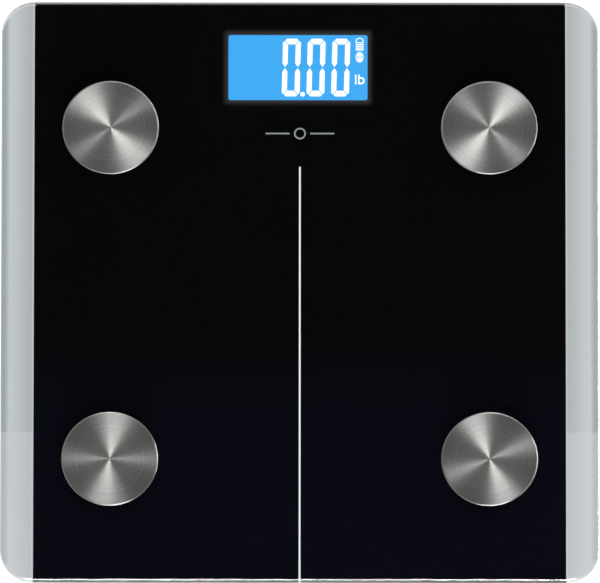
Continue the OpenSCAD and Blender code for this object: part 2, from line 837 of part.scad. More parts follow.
module contact_strip() {
    color([0.85, 0.3, 0.5]) translate([window_x - strip_w / 2, strip_y - strip_t / 2, board_top_z + slip])
        cube([strip_w, strip_t, lcd_z - board_top_z - 2 * slip]);
}

module lcd_panel() {
    color([0.25, 0.69, 0.97]) translate([window_x, lcd_y, lcd_z]) {
        slab(lcd_w, lcd_d, lcd_t / 2, 0.4);
        translate([0, 1.2, lcd_t / 2]) slab(lcd_w, lcd_d - 2.4, lcd_t / 2, 0.4);
    }
}

// Unit button: a cap in a hole in the floor, held by its flange.
module unit_button() {
    r = button_d / 2;
    edge = 0.5;
    rib_pitch = 2;
    rib_len = 5;
    rib_w = 0.6;
    color([0.5, 0.5, 0.52]) translate([button_x, button_y, 0]) difference() {
        rotate_extrude() polygon([
            [0, button_cap_z], [r - edge, button_cap_z], [r, button_cap_z + edge],
            [r, button_flange_z], [button_flange_r, button_flange_z],
            [button_flange_r, button_top_z], [0, button_top_z]
        ]);
        for (s = [-1 : 1]) {
            translate([0, s * rib_pitch, button_cap_z]) cube([rib_len, rib_w, 0.5], center = true);
        }
    }
}

// Battery bay pieces.

// Flat door with stiffening edge, two hinge tabs on one long side and a latch tongue on the other.
module battery_door() {
    tongue_w = 12;
    tongue_len = 10;
    cut = 0.9;
    root_len = 1.2;
    root_t = 0.4;
    grip_count = 5;
    grip = [8, 0.6, 0.35];
    grip_pitch = 1.4;
    grip_inset = 2.2;
    far_y = hinge_y + door_gap / 2 + door_w;
    color([0.13, 0.13, 0.14]) difference() {
        union() {
            translate([0, hinge_y + (door_gap + door_w) / 2, tray_z]) slab(door_len, door_w, door_t, door_r);
            for (s = [-1, 1]) {
                translate([s * tab_x - tab_w / 2, hinge_y - tab_reach, tray_z + door_t + 0.1])
                    cube([tab_w, tab_reach + root_len, tab_t]);
                translate([s * tab_x - tab_w / 2, hinge_y + door_gap / 2, tray_z + door_t - root_t])
                    cube([tab_w, root_len - door_gap / 2, tab_t]);
            }
        }
        for (s = [-1, 1]) {
            translate([s * (tongue_w + cut) / 2 - cut / 2, far_y - tongue_len, tray_z - 1])
                cube([cut, tongue_len + 1, door_t + 2]);
        }
        for (i = [0 : grip_count - 1]) {
            translate([-grip[0] / 2, far_y - grip_inset - i * grip_pitch, tray_z - 0.5])
                cube(grip + [0, 0, 0.5]);
        }
    }
}

// One cell: a can with a nub at its positive end, along X.
module battery(i) {
    r = battery_d / 2;
    can = battery_len - nub_len;
    turn = battery_turn(i);
    crimp = 0.8;
    crimp_len = 0.6;
    seal_t = 0.3;
    color([0.78, 0.55, 0.2]) translate([turn * (spring_room - plate_room) / 2, battery_y(i), battery_z + r])
        rotate([0, turn * 90, 0]) translate([0, 0, -battery_len / 2]) rotate_extrude() polygon([
            [0, 0], [r - crimp, 0], [r, crimp_len], [r, can - crimp_len], [r - crimp, can],
            [nub_r + 1, can], [nub_r + 1, can - seal_t], [nub_r, can - seal_t], [nub_r, battery_len],
            [0, battery_len]
        ]);
}

// Conical spring behind the flat end of each cell.
module battery_springs() {
    turns = 4;
    per_turn = 10;
    wire_r = 0.3;
    big_r = 3.6;
    small_r = 2;
    room = spring_room - plate_t - 2 * wire_r - 0.3;
    color([0.8, 0.8, 0.78]) for (i = [0 : battery_count - 1]) {
        turn = battery_turn(i);
        path = [
            for (k = [0 : turns * per_turn])
                let (t = k / (turns * per_turn), r = big_r + (small_r - big_r) * t)
                [t * room, r * cos(360 * turns * t), r * sin(360 * turns * t)]
        ];
        translate([-turn * (bay_len / 2 - plate_t - wire_r - 0.1), battery_y(i), battery_z + battery_d / 2])
            rotate([0, 0, turn > 0 ? 0 : 180]) tube_along(path, wire_r, 6, [1, 0, 0]);
    }
}

// Sheet contacts at both ends of the bay. Cells are joined in series, so a plate bridges each
// pair of neighbours, and the two end ones have a solder tag through the wall.
module battery_plates() {
    side = battery_d - 2;
    color([0.83, 0.82, 0.76]) {
        for (s = [-1, 1], i = [0 : battery_count - 1]) {
            translate([s * (bay_len / 2 - slip - plate_t / 2), battery_y(i), tag_z]) {
                cube([plate_t, side, side], center = true);
                bridged = i + 1 < battery_count && i % 2 == (s < 0 ? 1 : 0);
                if (bridged) {
                    translate([0, battery_pitch / 2, 0])
                        cube([plate_t, battery_pitch, side / 2], center = true);
                }
            }
        }
        for (t = [0, 1]) {
            tag_x = terminal_side(t) * (bay_len + bay_wall + tag_out - slip) / 2;
            translate([tag_x, battery_y(terminal_cell(t)), tag_z])
                cube([bay_wall + tag_out + slip, plate_t, tag_w], center = true);
        }
    }
}

// Leads. Each signal lead hops off its terminal, follows its own lane above the ribs and turns
// into its socket. Outer lanes turn nearer the board, so no two leads cross.
// Order 0 is the outermost pin of the side's two sockets, and order 3 the innermost.
module signal_lead(side, order, from, hop, lane_x, r) {
    s = side_sign(side);
    socket = order < 2 ? socket_x(s < 0 ? 0 : socket_count - 1) : socket_x(s < 0 ? 1 : socket_count - 2);
    plug = [socket + s * (order % 2 == 0 ? 1 : -1) * pin_pitch / 2, lead_end_y, socket_mid_z];
    turn_y = plug[1] - 8 - lead_pitch * order;
    from_front = from[1] < turn_y;
    bend = 5;
    tube_along(smooth([
        from,
        hop,
        [s * lane_x, hop[1] + (from_front ? 2 * bend : -9), lead_z],
        if (from_front) [s * lane_x, 0, lead_z],
        [s * lane_x, turn_y + (from_front ? -7 : bend), lead_z],
        [s * (lane_x - 6), turn_y, lead_z],
        [plug[0] + s * bend, turn_y, lead_z],
        [plug[0], plug[1] - 4, plug[2] - 0.4],
        [plug[0], plug[1] - 1.5, plug[2]],
        plug
    ], 4), r, 8);
}

module cell_lead(end, side) {
    s = side_sign(side);
    e = end_sign(end);
    gauge_y = e * (foot_y - cell_w / 2 + cell_frame_w + 5);
    over_z = retainer_z + retainer_t + lead_r + 0.6;
    color([0.75, 0.15, 0.12]) signal_lead(
        side, end == "front" ? 3 : 0,
        [s * (foot_x - 5), gauge_y, cell_top_z + gauge_t + lead_r + 0.3],
        [s * (foot_x - retainer_w / 2), gauge_y - e * 1.5, over_z],
        end == "front" ? front_cell_lane_x : rear_cell_lane_x, lead_r
    );
}

module electrode_lead(end, side) {
    s = side_sign(side);
    e = end_sign(end);
    tail_x = electrode_x - terminal_tail_len - 0.3;
    color([0.1, 0.1, 0.1]) signal_lead(
        side, end == "front" ? 2 : 1,
        [s * tail_x, electrode_y(end), terminal_z + terminal_t / 2],
        [s * (tail_x - 4), electrode_y(end) - e * 0.5, terminal_z - 0.8],
        lane_x, signal_r
    );
}

module battery_leads() {
    for (t = [0, 1]) {
        s = terminal_side(t);
        tag_y = battery_y(terminal_cell(t));
        tag = [s * (bay_len / 2 + bay_wall + tag_out + 0.1), tag_y, tag_z];
        bay_lane_x = tag[0] + s * (4 + lead_pitch * (1 - t));
        plug = [socket_x((socket_count - 1) / 2) + (2 * t - 1) * pin_pitch / 2, lead_end_y, socket_mid_z];
        color(t == 0 ? [0.7, 0.1, 0.1] : [0.08, 0.08, 0.08]) tube_along(smooth([
            tag,
            tag + [s * 2.5, 0.5, 0],
            [bay_lane_x, tag_y + 6, lead_z],
            [bay_lane_x, bay_w / 2 + 8, lead_z],
            [plug[0] + s * 12, plug[1] - 26, lead_z],
            [plug[0] + s, plug[1] - 8, lead_z + 0.6],
            [plug[0], plug[1] - 4, plug[2] - 0.4],
            [plug[0], plug[1] - 1.5, plug[2]],
            plug
        ], 4), signal_r, 8);
    }
}

glass_platform();
black_print();
for (side = SIDES) {
    silver_band(side);
}
centre_line();
electrode_adhesive();
stud_washers();
ring_terminals();
stud_nuts();
foam_tape();
base_tray();
strain_gauges();
retainer_screws();
circuit_board();
board_screws();
controller_chip();
radio_module();
lead_sockets();
unit_switch();
lcd_holder();
backlight_panel();
contact_strip();
lcd_panel();
unit_button();
battery_door();
battery_springs();
battery_plates();
battery_leads();
for (i = [1 : battery_count]) {
    battery(i - 1);
}
for (end = ENDS, side = SIDES) {
    electrode(end, side);
    foot_shell(end, side);
    foot_pad(end, side);
    load_cell(end, side);
    cell_retainer(end, side);
    cell_lead(end, side);
    electrode_lead(end, side);
}
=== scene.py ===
import math

import bpy
import numpy as np
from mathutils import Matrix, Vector


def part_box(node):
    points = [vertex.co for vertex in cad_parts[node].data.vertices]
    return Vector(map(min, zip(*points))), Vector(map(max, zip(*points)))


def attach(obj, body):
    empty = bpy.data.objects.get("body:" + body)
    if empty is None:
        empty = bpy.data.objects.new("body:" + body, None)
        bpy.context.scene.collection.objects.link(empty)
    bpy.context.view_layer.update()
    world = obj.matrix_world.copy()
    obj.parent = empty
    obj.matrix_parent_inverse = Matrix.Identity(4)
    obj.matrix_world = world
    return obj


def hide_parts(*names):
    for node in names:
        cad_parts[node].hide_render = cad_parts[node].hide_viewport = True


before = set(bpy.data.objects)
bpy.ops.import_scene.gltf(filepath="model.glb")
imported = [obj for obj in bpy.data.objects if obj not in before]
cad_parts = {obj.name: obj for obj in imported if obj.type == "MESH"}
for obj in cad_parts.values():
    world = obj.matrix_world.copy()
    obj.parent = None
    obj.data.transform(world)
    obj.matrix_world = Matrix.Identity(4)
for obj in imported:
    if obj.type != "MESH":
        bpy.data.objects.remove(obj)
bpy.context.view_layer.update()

MM = 0.001


# ---- Base tray -------------------------------------------------------------------------------
# The black ABS tray that everything is built into. It is injection moulded, with a fine
# spark-eroded grain outside, and hangs from the glass by foam tape along its rim.

class Link:
    """A shader socket. The operators and the methods below add the Math node that does that sum."""

    def __init__(self, web, socket):
        self.web = web
        self.socket = socket

    def sum(self, operation, *others):
        return self.web.node("ShaderNodeMath", {"operation": operation}, [self, *others])

    def output(self, name):
        return Link(self.web, self.socket.node.outputs[name])

    def __add__(self, other):
        return self.sum("ADD", other)

    def __sub__(self, other):
        return self.sum("SUBTRACT", other)

    def __rsub__(self, other):
        return self * -1 + other

    def __mul__(self, other):
        return self.sum("MULTIPLY", other)

    def __truediv__(self, other):
        return self.sum("DIVIDE", other)

    __radd__ = __add__
    __rmul__ = __mul__

    def size(self):
        """The value without its sign."""
        return self.sum("ABSOLUTE")

    def above(self, edge, soft):
        """0 below the edge and 1 above it, changing evenly over a width of soft."""
        return self.web.node(
            "ShaderNodeMapRange", {}, [self, edge - soft / 2, edge + soft / 2, 0.0, 1.0]
        )


class Web:
    """The nodes of one material, or of the surroundings."""

    def __init__(self, tree):
        self.tree = tree
        self.tree.nodes.clear()

    def node(self, kind, settings=None, sockets=None):
        """Any node: its settings first, then its sockets' values or links. Gives its first output."""
        made = self.tree.nodes.new(kind)
        for key, value in (settings or {}).items():
            if key == "stops":
                ramp = made.color_ramp.elements
                while len(ramp) < len(value):
                    ramp.new(0.5)
                for element, (at, colour) in zip(ramp, value):
                    element.position = at
                    element.color = (*colour, 1)
            else:
                setattr(made, key, value)
        pairs = enumerate(sockets) if isinstance(sockets, list) else (sockets or {}).items()
        for key, value in pairs:
            socket = made.inputs[key]
            if isinstance(value, Link):
                self.tree.links.new(value.socket, socket)
            elif socket.type == "RGBA":
                socket.default_value = (*value, 1)
            else:
                socket.default_value = value
        shown = [socket for socket in made.outputs if socket.enabled]
        return Link(self, shown[0]) if shown else None


class Finish(Web):
    """One material. place is a point's Object coordinates in metres, and x, y and z their parts."""

    def __init__(self, name):
        self.material = bpy.data.materials.new(name)
        self.material.use_nodes = True
        super().__init__(self.material.node_tree)
        self.place = self.node("ShaderNodeTexCoord").output("Object")
        self.x = self.node("ShaderNodeSeparateXYZ", {}, [self.place])
        self.y = self.x.output("Y")
        self.z = self.x.output("Z")

    def noise(self, size, detail=2.0, stretch=(1, 1, 1)):
        """Cloudy noise from 0 to 1 in patches of about size, drawn out along the axes by stretch."""
        at = self.node(
            "ShaderNodeMapping", {}, {"Vector": self.place, "Scale": tuple(1 / s for s in stretch)}
        )
        return self.node("ShaderNodeTexNoise", {}, {"Vector": at, "Scale": 1 / size, "Detail": detail})

    def mix(self, share, first, second):
        """The first colour where share is 0, and the second where it is 1."""
        return self.node("ShaderNodeMix", {"data_type": "RGBA"}, {0: share, 6: first, 7: second})

    def bump(self, height, distance):
        """A normal that stands height times distance proud."""
        return self.node("ShaderNodeBump", {}, {"Height": height, "Distance": distance})

    def surface(self, **sockets):
        """A Principled shader as the whole surface. Its sockets' names have _ for a space."""
        shader = self.shader(**sockets)
        self.node("ShaderNodeOutputMaterial", {}, {"Surface": shader})
        return self

    def shader(self, **sockets):
        """A Principled shader that isn't joined to anything yet."""
        return self.node(
            "ShaderNodeBsdfPrincipled",
            {},
            {key.replace("_", " "): value for key, value in sockets.items()},
        )


def dress(finish, *nodes):
    """Gives the frame's own nodes a finish."""
    for name in nodes:
        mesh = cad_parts[name].data
        mesh.materials.clear()
        mesh.materials.append(finish.material)


def shade(colour, share):
    """A colour made lighter or darker by a share."""
    return tuple(c * share for c in colour)


def moulded(name, colour, roughness=0.5, grain=0.4 * MM, depth=0.02 * MM):
    """Moulded plastic: a fine eroded grain, and slight clouds in its colour and gloss."""
    plastic = Finish(name)
    cloud = plastic.noise(25 * MM, 3)
    eroded = plastic.noise(grain)
    return plastic.surface(
        Base_Color=plastic.mix(cloud, shade(colour, 0.85), shade(colour, 1.2)),
        Roughness=roughness - 0.08 + 0.1 * cloud + 0.08 * eroded,
        Specular_IOR_Level=0.45,
        Normal=plastic.bump(eroded, depth),
    )


tray_black = (0.022, 0.022, 0.025)
dress(moulded("eroded_tray_plastic", tray_black, 0.56), "base_tray")


# ---- Feet ------------------------------------------------------------------------------------
# Each foot is a round ABS cup that hangs on a load cell by its snap head, with a thermoplastic
# rubber pad pressed into its underside. The pad is matt and picks up a little dust.

feet = ("front_left", "front_right", "rear_left", "rear_right")
dress(moulded("foot_cup_plastic", (0.018, 0.018, 0.02), 0.48), *["foot_shell_" + f for f in feet])

rubber = Finish("foot_pad_rubber")
skin_grain = rubber.noise(0.5 * MM, 4)
dust = rubber.noise(9 * MM, 4).above(0.56, 0.3)
rubber.surface(
    Base_Color=rubber.mix(dust, (0.05, 0.05, 0.053), (0.078, 0.077, 0.075)),
    Roughness=0.78 + 0.12 * dust,
    Specular_IOR_Level=0.3,
    Normal=rubber.bump(skin_grain, 0.05 * MM),
)
dress(rubber, *["foot_pad_" + f for f in feet])


# ---- Load cells and their retainers ----------------------------------------------------------
# A load cell is a stamped spring steel plate with a strain gauge bonded on and potted in pale
# sealant. A glass-filled nylon retainer, held by two steel screws, keeps it on its ledge.

def metal(name, colour, roughness, streak=(1, 1, 1), size=1.5 * MM, depth=0.004 * MM):
    """Bare or plated metal: fine streaks in its gloss and height, and slow clouds of tarnish."""
    bare = Finish(name)
    lines = bare.noise(size, 4, streak)
    tarnish = bare.noise(12 * MM, 3)
    return bare.surface(
        Base_Color=bare.mix(tarnish, shade(colour, 0.85), colour),
        Metallic=1.0,
        Roughness=roughness - 0.08 + 0.12 * lines + 0.08 * tarnish,
        Normal=bare.bump(lines, depth),
    )


rolled_steel = metal("rolled_cell_steel", (0.5, 0.51, 0.53), 0.34, (12, 1, 1))
dress(rolled_steel, *["load_cell_" + f for f in feet])
dress(moulded("gauge_sealant", (0.78, 0.77, 0.72), 0.42, 1.2 * MM, 0.1 * MM), "strain_gauges")
dress(moulded("filled_nylon", (0.6, 0.6, 0.58), 0.55), *["cell_retainer_" + f for f in feet])
screw_steel = metal("zinc_plated_screws", (0.66, 0.66, 0.64), 0.3)
dress(screw_steel, "retainer_screws", "board_screws")


# ---- Circuit board ---------------------------------------------------------------------------
# The controller board is green fibreglass, with copper tracks under its solder mask. It carries
# a resin-capped chip, a shielded radio module, the leads' nylon sockets and the unit switch.

track_pitch = 3.2 * MM
board = Finish("masked_board")
turned = board.node("ShaderNodeMapping", {}, {"Vector": board.place, "Rotation": (0, 0, 0.79)})
weave = board.noise(0.35 * MM, 2, (1, 4, 1))
tracks = board.node(
    "ShaderNodeTexVoronoi",
    {"feature": "DISTANCE_TO_EDGE", "distance": "CHEBYCHEV"},
    {"Vector": turned, "Scale": 1 / track_pitch},
).above(0.08, 0.02)
mask_green = board.mix(weave, (0.014, 0.1, 0.045), (0.02, 0.13, 0.06))
board.surface(
    Base_Color=board.mix(tracks, (0.03, 0.2, 0.085), mask_green),
    Roughness=0.3 + 0.1 * weave,
    Normal=board.bump(tracks, -0.03 * MM),
)
dress(board, "circuit_board")
dress(moulded("chip_resin", (0.02, 0.02, 0.02), 0.4, 0.8 * MM, 0.05 * MM), "controller_chip")
dress(moulded("switch_housing", (0.024, 0.024, 0.026), 0.35), "unit_switch")
dress(moulded("socket_nylon", (0.75, 0.73, 0.66), 0.45), "lead_sockets")
tinplate = metal("tinplate", (0.68, 0.68, 0.66), 0.26, (1, 8, 1))
dress(tinplate, "radio_module")


# ---- Display ---------------------------------------------------------------------------------
# A negative LCD in a white ABS holder, lit from behind by a blue edge-lit panel and joined to
# the board by a striped rubber contact strip. Its figures let the light through as white.

dress(moulded("holder_plastic", (0.72, 0.72, 0.7), 0.4), "lcd_holder")

stripe_pitch = 1.8 * MM
strip = Finish("striped_contact_rubber")
stripes = strip.node(
    "ShaderNodeTexWave", {"wave_profile": "SIN"}, {"Vector": strip.place, "Scale": 1 / stripe_pitch}
)
strip.surface(
    Base_Color=strip.mix(stripes.above(0.5, 0.1), (0.6, 0.15, 0.28), (0.03, 0.02, 0.02)),
    Roughness=0.6 + 0.1 * strip.noise(0.6 * MM),
)
dress(strip, "contact_strip")

lcd_blue = (0.050, 0.418, 0.93)
guide = Finish("lit_acrylic_panel")
dots = guide.noise(0.7 * MM, 1)
guide.surface(
    Base_Color=guide.mix(dots, (0.55, 0.7, 0.85), (0.75, 0.85, 0.95)),
    Roughness=0.25 + 0.1 * dots,
    Emission_Color=guide.mix(dots, shade(lcd_blue, 0.7), lcd_blue),
    Emission_Strength=0.5,
)
dress(guide, "backlight_panel")

lcd = Finish("blue_lcd")
glow = lcd.noise(22 * MM, 2)
cells = lcd.noise(0.25 * MM, 1)
lcd.surface(
    Base_Color=lcd.mix(cells, (0.004, 0.02, 0.05), (0.006, 0.03, 0.07)),
    Roughness=0.24 + 0.06 * cells,
    Emission_Color=lcd.mix(glow, shade(lcd_blue, 0.94), shade(lcd_blue, 1.04)),
    Emission_Strength=1.0,
)
dress(lcd, "lcd_panel")


def solid(name, points, faces, finish, body, slot, smooth=True):
    """A mesh piece from its points and faces, turned so that its faces look outwards. The sum of
    the triangles' signed volumes to the origin tells which way they look now."""
    points = np.asarray(points, float).reshape(-1, 3)
    mesh = bpy.data.meshes.new(name)
    mesh.from_pydata(points.tolist(), [], faces)
    mesh.calc_loop_triangles()
    corners = np.zeros(3 * len(mesh.loop_triangles), np.int32)
    mesh.loop_triangles.foreach_get("vertices", corners)
    a, b, c = np.moveaxis(points[corners.reshape(-1, 3)], 1, 0)
    if np.einsum("ij,ij->", a, np.cross(b, c)) < 0:
        mesh.flip_normals()
    mesh.shade_smooth() if smooth else mesh.shade_flat()
    for each in finish if isinstance(finish, list) else [finish]:
        mesh.materials.append(each.material)
    piece = bpy.data.objects.new(name, mesh)
    bpy.context.scene.collection.objects.link(piece)
    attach(piece, body)
    return piece


def plates(name, outlines, low, high, *rest):
    """Flat plates, one for each outline of (x, y) points, each carried straight up from low to
    high. The side faces join point k and point k + 1 of the lower ring to the upper one."""
    points, faces, start = [], [], 0
    for outline in outlines:
        ring = np.asarray(outline, float)
        n = len(ring)
        k = np.arange(n)
        up = start + n
        points += [np.c_[ring, np.full(n, z)] for z in (low, high)]
        faces += np.c_[start + k, start + (k + 1) % n, up + (k + 1) % n, up + k].tolist()
        faces += [(start + k[::-1]).tolist(), (up + k).tolist()]
        start += 2 * n
    return solid(name, np.vstack(points), faces, *rest, smooth=False)


def arc(middle, outer, inner, first, last, steps=24):
    """A curved bar's outline: out along the outer radius and back along the inner one."""
    turn = np.radians(np.linspace(first, last, steps))
    way = np.c_[np.cos(turn), np.sin(turn)]
    return np.asarray(middle) + np.vstack([way * outer, way[::-1] * inner])


def bar(left, low, right, high):
    """A plain oblong outline."""
    return np.array([[left, low], [right, low], [right, high], [left, high]])


# ---- Figures on the display ------------------------------------------------------------------
# The lit readout: three seven-segment noughts with a point, a battery level, radio waves and
# the unit. They are windows in the LCD's mask, so they lie in its face and glow white.

display = np.array([-1.0, 117.1]) * MM
half_high = 30.1 * MM / 2
half_wide = 9.0 * MM / 2
upright_stroke = 2.6 * MM
level_stroke = 3.0 * MM
corner_cut = 2.0 * MM
mitre = 0.12 * MM
tip = 0.25 * MM
taper = 2.0 * MM
lean = math.tan(math.radians(1.4))

inner = half_wide - upright_stroke
bevel_x, bevel_y = half_wide - corner_cut / 2, half_high - corner_cut / 2
half_bar = np.array([
    [half_wide - corner_cut, half_high],
    [bevel_x - mitre, bevel_y + mitre],
    [inner - 2 * mitre, half_high - level_stroke],
])
top_bar = np.vstack([half_bar, half_bar[::-1] * [-1, 1]])
side_bar = np.array([
    [half_wide, half_high - corner_cut],
    [half_wide, tip + taper],
    [half_wide - upright_stroke / 2, tip],
    [inner, tip + taper],
    [inner, half_high - level_stroke - 2 * mitre],
    [bevel_x + mitre, bevel_y - mitre],
])
nought = [top_bar, top_bar * [1, -1]] + [side_bar * [i, j] for i in (1, -1) for j in (1, -1)]


def leaning(outline):
    """An outline about the display's middle, leant over by its height times lean."""
    moved = np.asarray(outline, float).copy()
    moved[:, 0] += moved[:, 1] * lean
    return moved + display


def oval(middle, wide, high, steps=36):
    """An ellipse's outline."""
    turn = np.linspace(0, 2 * math.pi, steps, endpoint=False)
    return np.asarray(middle) + np.c_[np.cos(turn) * wide, np.sin(turn) * high]


nought_x = (-3.36 * MM, 9.09 * MM, 21.49 * MM)
figures = [leaning(part + [x, 0]) for x in nought_x for part in nought]
point_at = (2.3 * MM, -13.9 * MM)
point_radius = 1.2 * MM
figures.append(oval(point_at, point_radius, point_radius) + display)

# The battery sign is a round-topped frame over four bars.
sign_x = 31.0 * MM
sign_left, sign_right = sign_x - 2.0 * MM, sign_x + 2.0 * MM
stroke = 0.5 * MM
frame_low, frame_high = 12.7 * MM, 14.4 * MM
cap_radius = 2.25 * MM
rung_low = 8.9 * MM
rung_high = 0.6 * MM
rung_pitch = 0.95 * MM
signs = [
    bar(sign_left, frame_low, sign_right, frame_low + stroke),
    bar(sign_left, frame_low + stroke, sign_left + stroke, frame_high),
    bar(sign_right - stroke, frame_low + stroke, sign_right, frame_high),
    arc((sign_x, frame_high - 1.1 * MM), cap_radius, cap_radius - stroke, 30, 150),
]
for rung in rung_low + rung_pitch * np.arange(4):
    signs.append(bar(sign_left, rung, sign_right, rung + rung_high))

# The radio sign is a white oval with a dot between two pairs of waves in it.
badge = np.array([sign_x, 5.4 * MM])
signs.append(oval(badge, 1.95 * MM, 2.75 * MM))
dot_radius = 0.3 * MM
wave_thick = 0.28 * MM
waves = [oval(badge, dot_radius, dot_radius)]
for wave_radius in (0.95 * MM, 1.5 * MM):
    for facing in (0, 180):
        waves.append(arc(badge, wave_radius, wave_radius - wave_thick, facing - 48, facing + 48, 12))

# The unit sign is the two letters of the pound.
unit_left = 28.65 * MM
unit_low = -8.75 * MM
unit_high = unit_low + 5.1 * MM
bowl_radius = 1.9 * MM
signs += [
    bar(unit_left, unit_low, unit_left + 0.8 * MM, unit_high),
    bar(unit_left + 1.6 * MM, unit_low, unit_left + 2.35 * MM, unit_high),
    arc((unit_left + 3.0 * MM, unit_low + bowl_radius), bowl_radius, 1.1 * MM, -125, 125, 30),
]

lit = Finish("lit_white_figures")
shimmer = lit.noise(6 * MM, 2)
lit.surface(
    Base_Color=(0.2, 0.22, 0.24),
    Roughness=0.3 + 0.1 * shimmer,
    Emission_Color=lit.mix(shimmer, (0.93, 0.96, 1.0), (1.0, 1.0, 1.0)),
    Emission_Strength=1.0,
)
lcd_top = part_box("lcd_panel")[1].z
plates(
    "display_figures", figures + [part + display for part in signs],
    lcd_top + 0.02 * MM, lcd_top + 0.08 * MM, lit, "scale_base", "lcd_blue",
)
plates(
    "radio_waves", [part + display for part in waves],
    lcd_top + 0.10 * MM, lcd_top + 0.14 * MM, lcd, "scale_base", "lcd_blue",
)


# ---- Unit button, batteries and battery door --------------------------------------------------
# Three steel-cased AAA cells between plated springs and plates, under a hinged ABS door. The
# grey button beside them is an ABS cap that presses the board's switch.

dress(moulded("button_plastic", (0.22, 0.22, 0.23), 0.42), "unit_button")
dress(moulded("door_plastic", tray_black, 0.52), "battery_door")

black_sleeve_half = 13 * MM
wrap = Finish("battery_sleeve")
coppery = wrap.x.size().above(black_sleeve_half, 0.4 * MM)
scuff = wrap.noise(2.5 * MM, 4, (4, 1, 1))
wrap.surface(
    Base_Color=wrap.mix(coppery, (0.025, 0.025, 0.028), (0.5, 0.3, 0.08)),
    Metallic=0.9 * coppery,
    Roughness=0.25 + 0.2 * scuff,
)
dress(wrap, "battery_1", "battery_2", "battery_3")
dress(tinplate, "battery_springs", "battery_plates")


# ---- Printed films ----------------------------------------------------------------------------
# Screen-printed films bonded under the glass: dense black across the middle, satin silver bands
# down both sides and one fine silver line. The display's light leaks a little round its window.

glass_low, glass_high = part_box("glass_platform")
window_y = 117.0 * MM
window_half_wide = 34.9 * MM
window_half_deep = 17.05 * MM
leak_width = 1.9 * MM
leak_strength = 0.036

# The leaking light falls off as a bell curve of the distance from the window. The print has no
# gloss of its own, because the glass is bonded to it.
black = Finish("black_print")
outside_x = ((black.x - float(display[0])).size() - window_half_wide).sum("MAXIMUM", 0.0)
outside_y = ((black.y - window_y).size() - window_half_deep).sum("MAXIMUM", 0.0)
gap_squared = outside_x * outside_x + outside_y * outside_y
leak = (gap_squared * (-1 / leak_width ** 2)).sum("EXPONENT") * leak_strength
# Painted reflection of a soft box: the black turns faintly blue towards the front, over a soft
# wavering edge.
tint_edge_wobble = black.noise(60 * MM, 2)
painted_softbox_tint = (black.y * -1 + 8 * MM * tint_edge_wobble).above(48 * MM, 46 * MM)
black.surface(
    Base_Color=black.mix(painted_softbox_tint, (0.0023, 0.0023, 0.0023), (0.0033, 0.0033, 0.0072)),
    Roughness=0.5 + 0.2 * black.noise(0.8 * MM),
    Specular_IOR_Level=0.0,
    Emission_Color=black.node("ShaderNodeCombineColor", {}, [leak, leak * 0.96, leak]),
    Emission_Strength=1.0,
)
dress(black, "black_print")

reflection_step_y = -72.6 * MM
band_wide = 16.5 * MM
# The stops are painted light and shade across the band from the glass's edge inwards: painted shade in
# the outer 2 mm under the ground edge, then painted light let in by the edge that fades inwards,
# darker again near the black with a lighter last millimetre. A painted reflection step makes it
# lighter near the front.
silver = Finish("silver_print")
inward = glass_high.x - silver.x.size()
# Painted light and shade: the band darkens in its outer 2 mm and brightens where the glass edge lets
# light in, fading inwards.
painted_edge_light_and_shade = silver.node(
    "ShaderNodeValToRGB",
    {"stops": [
        (0.00, (0.44, 0.49, 0.50)), (0.12, (0.48, 0.54, 0.55)), (0.26, (0.77, 0.81, 0.84)),
        (0.45, (0.75, 0.77, 0.81)), (0.75, (0.64, 0.66, 0.69)), (0.93, (0.57, 0.63, 0.62)),
        (0.955, (0.72, 0.775, 0.765)), (1.00, (0.69, 0.75, 0.74)),
    ]},
    [inward / band_wide],
)
blocks = silver.noise(7 * MM, 1, (0.6, 1.4, 1))
tint = silver.mix(blocks, (0.96, 1.0, 0.97), (1.0, 0.97, 1.0))
edge_lit_and_tinted = silver.node(
    "ShaderNodeMix", {"data_type": "RGBA", "blend_type": "MULTIPLY"}, {0: 1.0, 6: painted_edge_light_and_shade, 7: tint}
)
# Painted reflection of a soft box: the band's colour is stepped lighter in front of a line 72.6 mm
# forward of the middle.
painted_reflection_step = (silver.y * -1).above(-reflection_step_y, 0.5 * MM)
flake = silver.noise(0.22 * MM, 2)
silver.surface(
    Base_Color=silver.mix(painted_reflection_step * 0.4, edge_lit_and_tinted, (0.86, 0.87, 0.88)),
    Metallic=0.35,
    Roughness=0.42 + 0.1 * flake,
    Normal=silver.bump(flake, 0.01 * MM),
)
dress(silver, "silver_band_left", "silver_band_right")

line_ink = Finish("line_print")
worn = line_ink.noise(2 * MM, 3)
line_ink.surface(
    Base_Color=line_ink.mix(worn, (0.92, 0.97, 1.0), (0.97, 1.0, 1.0)),
    Roughness=0.4 + 0.1 * worn,
)
dress(line_ink, "centre_line")

mark = Finish("mark_print")
mark_grain = mark.noise(1.2 * MM, 3)
mark.surface(
    Base_Color=mark.mix(mark_grain, (0.27, 0.31, 0.34), (0.33, 0.37, 0.40)),
    Roughness=0.45 + 0.1 * mark_grain,
)
mark_y = 82.6 * MM
ring_outer, ring_inner = 3.0 * MM, 2.2 * MM
wing_near, wing_far = 5.2 * MM, 17.3 * MM
wing_low, wing_high = mark_y - 0.4 * MM, mark_y + 0.4 * MM
film_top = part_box("black_print")[1].z
plates(
    "printed_mark",
    [
        arc((0, mark_y), ring_outer, ring_inner, -90, 90, 32),
        arc((0, mark_y), ring_outer, ring_inner, 90, 270, 32),
        bar(wing_near, wing_low, wing_far, wing_high),
        bar(-wing_far, wing_low, -wing_near, wing_high),
    ],
    film_top + 0.005 * MM, film_top + 0.02 * MM, mark, "scale_base", "silver_ink",
)


# ---- Glass platform ---------------------------------------------------------------------------
# One sheet of 6 mm toughened float glass, cut with round corners. Its edge is ground flat with
# an arris at top and bottom, which stays faintly frosted, and its faces are fire-polished.

